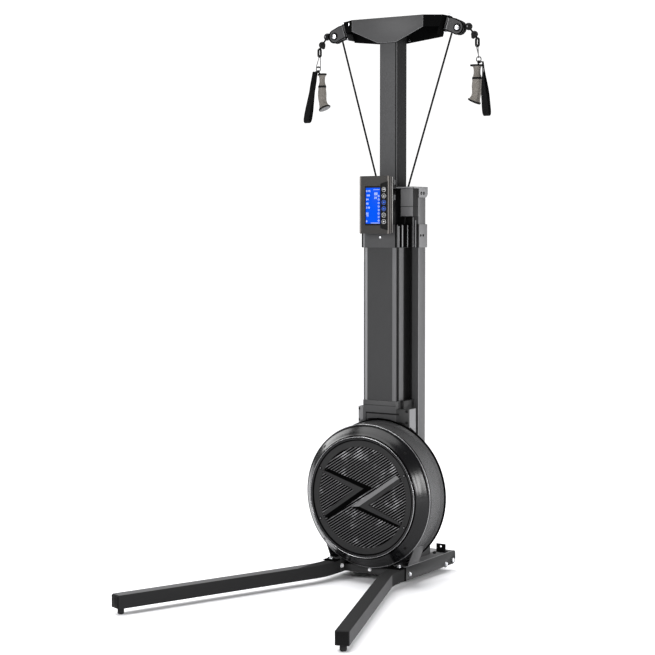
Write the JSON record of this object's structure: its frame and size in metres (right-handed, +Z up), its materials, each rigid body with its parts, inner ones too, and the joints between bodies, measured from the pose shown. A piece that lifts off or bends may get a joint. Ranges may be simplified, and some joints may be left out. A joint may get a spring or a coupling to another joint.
{
  "type": "ski trainer machine",
  "caption": "Upright ski trainer: a splayed floor frame, an air fan, a slim tower with a console, and a crossbar with roped hand grips.",
  "frame": {"origin": "centre of the footprint on the floor", "axes": "+Z up the tower, +X to the right as seen from the user, -Y towards the user's place between the legs"},
  "size_m": [0.9932, 1.3357, 2.1794],
  "materials": {
    "frame_paint": "fine-textured dark powder coat",
    "deck_paint": "satin grey powder coat",
    "tower_paint": "satin dark grey powder coat",
    "column_plastic": "matt with fine upright grooves",
    "moulded_plastic": "matt moulded",
    "guard_plastic": "satin moulded",
    "gloss_shroud": "high gloss",
    "mesh_steel": "fine perforated mesh",
    "zinc": "bright zinc",
    "rubber": "matt",
    "button_rubber": "smooth matt, two lit blue",
    "grip_rubber": "soft warm grey with black flanges",
    "rope": "braided",
    "webbing": "ribbed webbing",
    "screen_glass": "lit blue display under clear glass"
  },
  "bodies": {
    "root": {"leg_right": "frame_paint", "leg_left": "frame_paint", "front_foot_right": "rubber", "front_foot_left": "rubber", "rear_foot_right": "rubber", "rear_foot_left": "rubber", "leg_clamp_right": "frame_paint", "leg_clamp_left": "frame_paint", "base_beam_right": "frame_paint", "base_beam_left": "frame_paint", "front_cross_member": "frame_paint", "rear_deck": "deck_paint", "wheel_axle": "zinc", "hook_tab": "frame_paint", "mast_foot": "frame_paint", "mast": "tower_paint", "mast_head": "tower_paint", "rope_guide_right": "moulded_plastic", "rope_guide_left": "moulded_plastic", "column_cover": "column_plastic", "console_collar": "moulded_plastic", "upper_post": "tower_paint", "crossbar": "tower_paint", "hinge_pin_right": "zinc", "hinge_pin_left": "zinc", "rope_run_right": "rope", "rope_run_left": "rope", "fan_shroud": "gloss_shroud", "mesh_band": "mesh_steel", "fan_back": "moulded_plastic", "fan_guard": "guard_plastic", "fan_bracket": "tower_paint", "console_case": "moulded_plastic", "console_screen": "screen_glass"},
    "fan": {"fan_rotor": "moulded_plastic", "fan_shaft": "zinc"},
    "drum_right": {"rope_drum_right": "moulded_plastic"},
    "wheel_right": {"transport_wheel_right": "rubber"},
    "bracket_right": {"pulley_bracket_right": "frame_paint", "pulley_axle_right": "zinc"},
    "pulley_wheel_right": {"pulley_right": "moulded_plastic"},
    "line_right": {"rope_end_right": "rope", "handle_link_right": "zinc"},
    "handle_right": {"handle_grip_right": "grip_rubber", "wrist_strap_right": "webbing"},
    "drum_left": {"rope_drum_left": "moulded_plastic"},
    "wheel_left": {"transport_wheel_left": "rubber"},
    "bracket_left": {"pulley_bracket_left": "frame_paint", "pulley_axle_left": "zinc"},
    "pulley_wheel_left": {"pulley_left": "moulded_plastic"},
    "line_left": {"rope_end_left": "rope", "handle_link_left": "zinc"},
    "handle_left": {"handle_grip_left": "grip_rubber", "wrist_strap_left": "webbing"},
    "button_1": {"console_button_1": "button_rubber"},
    "button_2": {"console_button_2": "button_rubber"},
    "button_3": {"console_button_3": "button_rubber"},
    "button_4": {"console_button_4": "button_rubber"},
    "button_5": {"console_button_5": "button_rubber"},
    "button_6": {"console_button_6": "button_rubber"}
  },
  "joints": [
    {"name": "fan_spin", "type": "hinge", "parent": "root", "child": "fan", "pos_m": [0, 0.46604, 0.333], "axis": [0, 1, 0], "continuous": true},
    {"name": "bracket_right_swivel", "type": "hinge", "parent": "root", "child": "bracket_right", "pos_m": [0.23, 0.48804, 2.146], "axis": [0.2974, 0, 0.9548], "range_deg": [-35, 35], "deforming": ["rope_run_right"]},
    {"name": "handle_right_pull", "type": "slide", "parent": "bracket_right", "child": "line_right", "axis": [0, 0, -1], "range_m": [0, 1.2], "stiffness_N_per_m": 25, "springref_m": -0.6},
    {"name": "pulley_right_turn", "type": "hinge", "parent": "bracket_right", "child": "pulley_wheel_right", "pos_m": [0.2775, 0.48804, 2.1264], "axis": [0, 1, 0], "range_deg": [0, 2920]},
    {"name": "drum_right_turn", "type": "hinge", "parent": "root", "child": "drum_right", "pos_m": [0, 0.46604, 0.333], "axis": [0, 1, 0], "range_deg": [-2020, 0]},
    {"name": "handle_right_swing", "type": "hinge", "parent": "line_right", "child": "handle_right", "pos_m": [0.363, 0.48804, 1.992], "axis": [1, 0, 0], "range_deg": [-60, 60]},
    {"name": "wheel_right_roll", "type": "hinge", "parent": "root", "child": "wheel_right", "pos_m": [0.1, 0.63804, 0.041], "axis": [1, 0, 0], "continuous": true},
    {"name": "bracket_left_swivel", "type": "hinge", "parent": "root", "child": "bracket_left", "pos_m": [-0.23, 0.48804, 2.146], "axis": [-0.2974, 0, 0.9548], "range_deg": [-35, 35], "deforming": ["rope_run_left"]},
    {"name": "handle_left_pull", "type": "slide", "parent": "bracket_left", "child": "line_left", "axis": [0, 0, -1], "range_m": [0, 1.2], "stiffness_N_per_m": 25, "springref_m": -0.6},
    {"name": "pulley_left_turn", "type": "hinge", "parent": "bracket_left", "child": "pulley_wheel_left", "pos_m": [-0.2775, 0.48804, 2.1264], "axis": [0, 1, 0], "range_deg": [-2920, 0]},
    {"name": "drum_left_turn", "type": "hinge", "parent": "root", "child": "drum_left", "pos_m": [0, 0.46604, 0.333], "axis": [0, 1, 0], "range_deg": [0, 2020]},
    {"name": "handle_left_swing", "type": "hinge", "parent": "line_left", "child": "handle_left", "pos_m": [-0.363, 0.48804, 1.992], "axis": [1, 0, 0], "range_deg": [-60, 60]},
    {"name": "wheel_left_roll", "type": "hinge", "parent": "root", "child": "wheel_left", "pos_m": [-0.1, 0.63804, 0.041], "axis": [1, 0, 0], "continuous": true},
    {"name": "button_1_press", "type": "slide", "parent": "root", "child": "button_1", "axis": [0, 1, 0], "range_m": [0, 0.001], "stiffness_N_per_m": 800, "springref_m": -0.0005},
    {"name": "button_2_press", "type": "slide", "parent": "root", "child": "button_2", "axis": [0, 1, 0], "range_m": [0, 0.001], "stiffness_N_per_m": 800, "springref_m": -0.0005},
    {"name": "button_3_press", "type": "slide", "parent": "root", "child": "button_3", "axis": [0, 1, 0], "range_m": [0, 0.001], "stiffness_N_per_m": 800, "springref_m": -0.0005},
    {"name": "button_4_press", "type": "slide", "parent": "root", "child": "button_4", "axis": [0, 1, 0], "range_m": [0, 0.001], "stiffness_N_per_m": 800, "springref_m": -0.0005},
    {"name": "button_5_press", "type": "slide", "parent": "root", "child": "button_5", "axis": [0, 1, 0], "range_m": [0, 0.001], "stiffness_N_per_m": 800, "springref_m": -0.0005},
    {"name": "button_6_press", "type": "slide", "parent": "root", "child": "button_6", "axis": [0, 1, 0], "range_m": [0, 0.001], "stiffness_N_per_m": 800, "springref_m": -0.0005}
  ],
  "couplings": [
    {"joint": "pulley_right_turn", "follows": "handle_right_pull", "rad_per_m": 42.373},
    {"joint": "drum_right_turn", "follows": "handle_right_pull", "rad_per_m": -29.326},
    {"joint": "pulley_left_turn", "follows": "handle_left_pull", "rad_per_m": -42.373},
    {"joint": "drum_left_turn", "follows": "handle_left_pull", "rad_per_m": 29.326}
  ]
}
